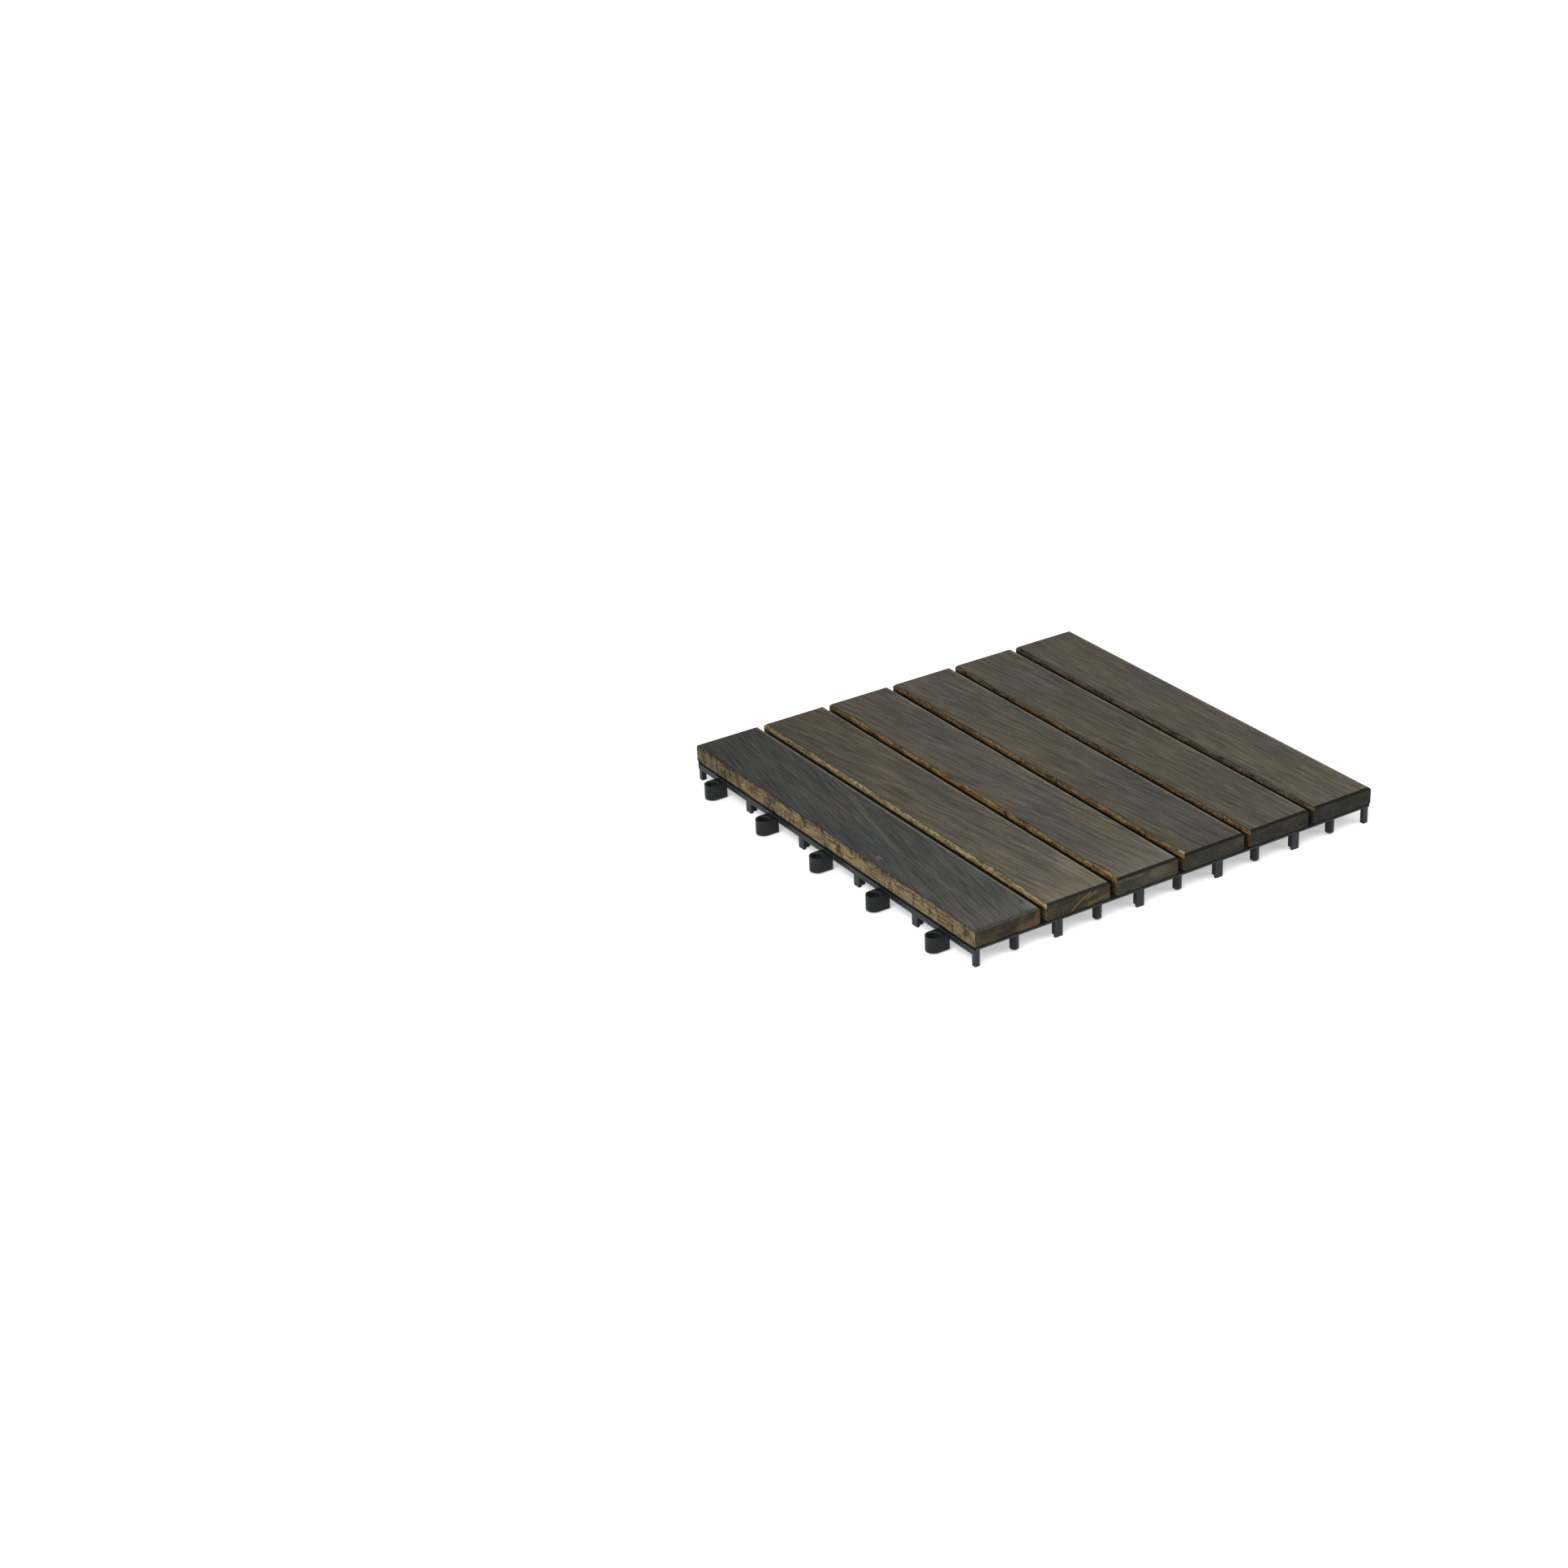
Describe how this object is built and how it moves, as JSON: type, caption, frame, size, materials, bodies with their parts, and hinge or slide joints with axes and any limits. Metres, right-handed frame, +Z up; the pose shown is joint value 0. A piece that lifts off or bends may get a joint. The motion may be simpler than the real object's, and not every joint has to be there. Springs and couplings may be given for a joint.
{
  "type": "interlocking deck tile",
  "caption": "Square outdoor deck tile: dark-stained hardwood slats screwed to a black plastic base with loops on two sides and pegs on the other two, so that tiles click together.",
  "frame": {"origin": "centre of the square tile, on the ground plane under its feet", "axes": "+Z up out of the deck face; +Y along the slats, towards a side with loops; +X across the slats, towards a side with pegs"},
  "size_m": [0.3125, 0.3125, 0.024],
  "materials": {
    "stained_wood": "matt, weathered dark stain",
    "base_plastic": "satin black moulding",
    "screw_steel": "plain zinc-plated"
  },
  "bodies": {
    "root": {"slat_1": "stained_wood", "slat_2": "stained_wood", "slat_3": "stained_wood", "slat_4": "stained_wood", "slat_5": "stained_wood", "slat_6": "stained_wood", "base": "base_plastic", "screws": "screw_steel"}
  },
  "joints": []
}
